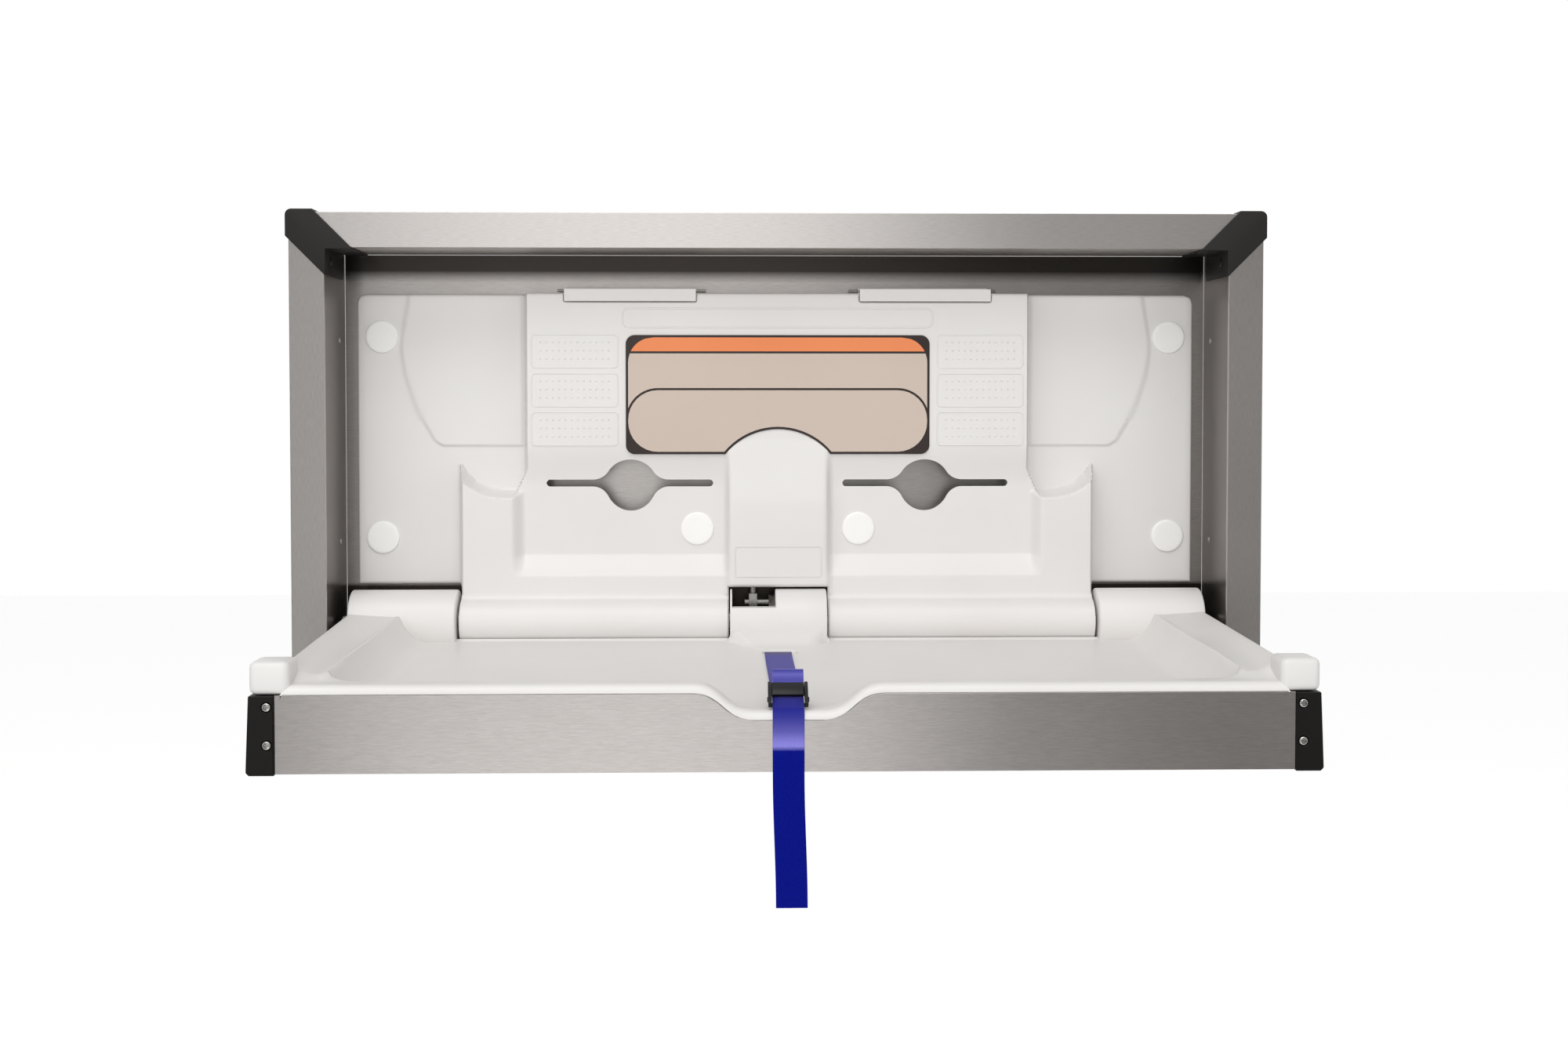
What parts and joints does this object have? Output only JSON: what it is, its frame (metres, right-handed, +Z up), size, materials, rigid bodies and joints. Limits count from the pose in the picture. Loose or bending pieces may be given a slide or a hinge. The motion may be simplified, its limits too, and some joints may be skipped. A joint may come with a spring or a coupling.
{
  "type": "baby changing station",
  "caption": "Wall-mounted baby changing station: steel-framed recess with a moulded liner and paper dispenser, and a damped fold-down tray with a safety strap.",
  "frame": {"origin": "centre of the wall face: the rear face of the back panel, midway across and up the frame", "axes": "+X to the right seen from the room, +Y into the wall, +Z up; the tray opens toward -Y"},
  "size_m": [0.9516, 0.4174, 0.5968],
  "materials": {
    "brushed_steel": "satin",
    "bright_steel": "bright",
    "off_white_plastic": "matte",
    "white_plastic": "matte",
    "black_plastic": "satin",
    "dark_metal": "satin",
    "plate": "satin",
    "blue_webbing": "woven"
  },
  "bodies": {
    "frame": {"frame_top_rail": "brushed_steel", "frame_bottom_rail": "brushed_steel", "frame_left_rail": "brushed_steel", "frame_right_rail": "brushed_steel", "corner_cap_top_left": "black_plastic", "corner_cap_top_right": "black_plastic", "corner_cap_bottom_left": "black_plastic", "corner_cap_bottom_right": "black_plastic", "corner_cap_screw_top_left": "bright_steel", "corner_cap_screw_top_right": "bright_steel", "corner_cap_screw_bottom_left": "bright_steel", "corner_cap_screw_bottom_right": "bright_steel", "back_panel": "brushed_steel", "wall_liner": "off_white_plastic", "lid_hinge_pin_left": "bright_steel", "lid_hinge_pin_right": "bright_steel", "notice_plate": "plate", "screw_plug_upper_left": "white_plastic", "screw_plug_upper_right": "white_plastic", "screw_plug_lower_left": "white_plastic", "screw_plug_lower_right": "white_plastic", "screw_plug_middle_left": "white_plastic", "screw_plug_middle_right": "white_plastic", "wall_screw_upper_left": "bright_steel", "wall_screw_upper_right": "bright_steel", "wall_screw_lower_left": "bright_steel", "wall_screw_lower_right": "bright_steel", "wall_screw_middle_left": "bright_steel", "wall_screw_middle_right": "bright_steel", "hinge_rod": "bright_steel", "hinge_retainer_left": "dark_metal", "hinge_retainer_right": "dark_metal", "hinge_washer_left_inner": "white_plastic", "hinge_washer_left_outer": "white_plastic", "hinge_washer_right_inner": "white_plastic", "hinge_washer_right_outer": "white_plastic", "damper_cylinder": "dark_metal", "damper_gland": "black_plastic", "damper_bracket": "bright_steel", "damper_pin": "bright_steel"},
    "tray": {"tray_shell": "off_white_plastic", "door_panel": "brushed_steel", "lip_cap_left": "black_plastic", "lip_cap_right": "black_plastic", "lip_screw_left_upper": "bright_steel", "lip_screw_left_lower": "bright_steel", "lip_screw_right_upper": "bright_steel", "lip_screw_right_lower": "bright_steel", "stiffener_channel_rear": "bright_steel", "stiffener_channel_front": "bright_steel", "crank_lever": "bright_steel", "crank_pin": "bright_steel", "strap_lead": "blue_webbing", "strap_buckle": "black_plastic", "strap_anchor": "bright_steel"},
    "damper_rod": {"damper_rod": "bright_steel"},
    "lid_left": {"dispenser_lid_left": "off_white_plastic"},
    "lid_right": {"dispenser_lid_right": "off_white_plastic"},
    "strap_tail": {"strap_tail": "blue_webbing"}
  },
  "joints": [
    {"name": "tray_hinge", "type": "hinge", "parent": "frame", "child": "tray", "pos_m": [0, -0.05, -0.1485], "axis": [-1, 0, 0], "range_deg": [0, 90]},
    {"name": "damper_rod_slide", "type": "slide", "parent": "frame", "child": "damper_rod", "axis": [0, 0, 1], "range_m": [-0.0354, 0]},
    {"name": "lid_left_hinge", "type": "hinge", "parent": "frame", "child": "lid_left", "pos_m": [-0.1475, -0.0145, 0.1831], "axis": [-1, 0, 0], "range_deg": [0, 60]},
    {"name": "lid_right_hinge", "type": "hinge", "parent": "frame", "child": "lid_right", "pos_m": [0.1475, -0.0145, 0.1831], "axis": [-1, 0, 0], "range_deg": [0, 60]},
    {"name": "strap_tail_fold", "type": "hinge", "parent": "tray", "child": "strap_tail", "pos_m": [0, -0.4166, -0.2303], "axis": [-1, 0, 0], "range_deg": [-90, 0]}
  ],
  "couplings": [
    {"joint": "damper_rod_slide", "follows": "tray_hinge", "m_per_rad": -0.022508},
    {"joint": "strap_tail_fold", "follows": "tray_hinge", "ratio": -1}
  ]
}
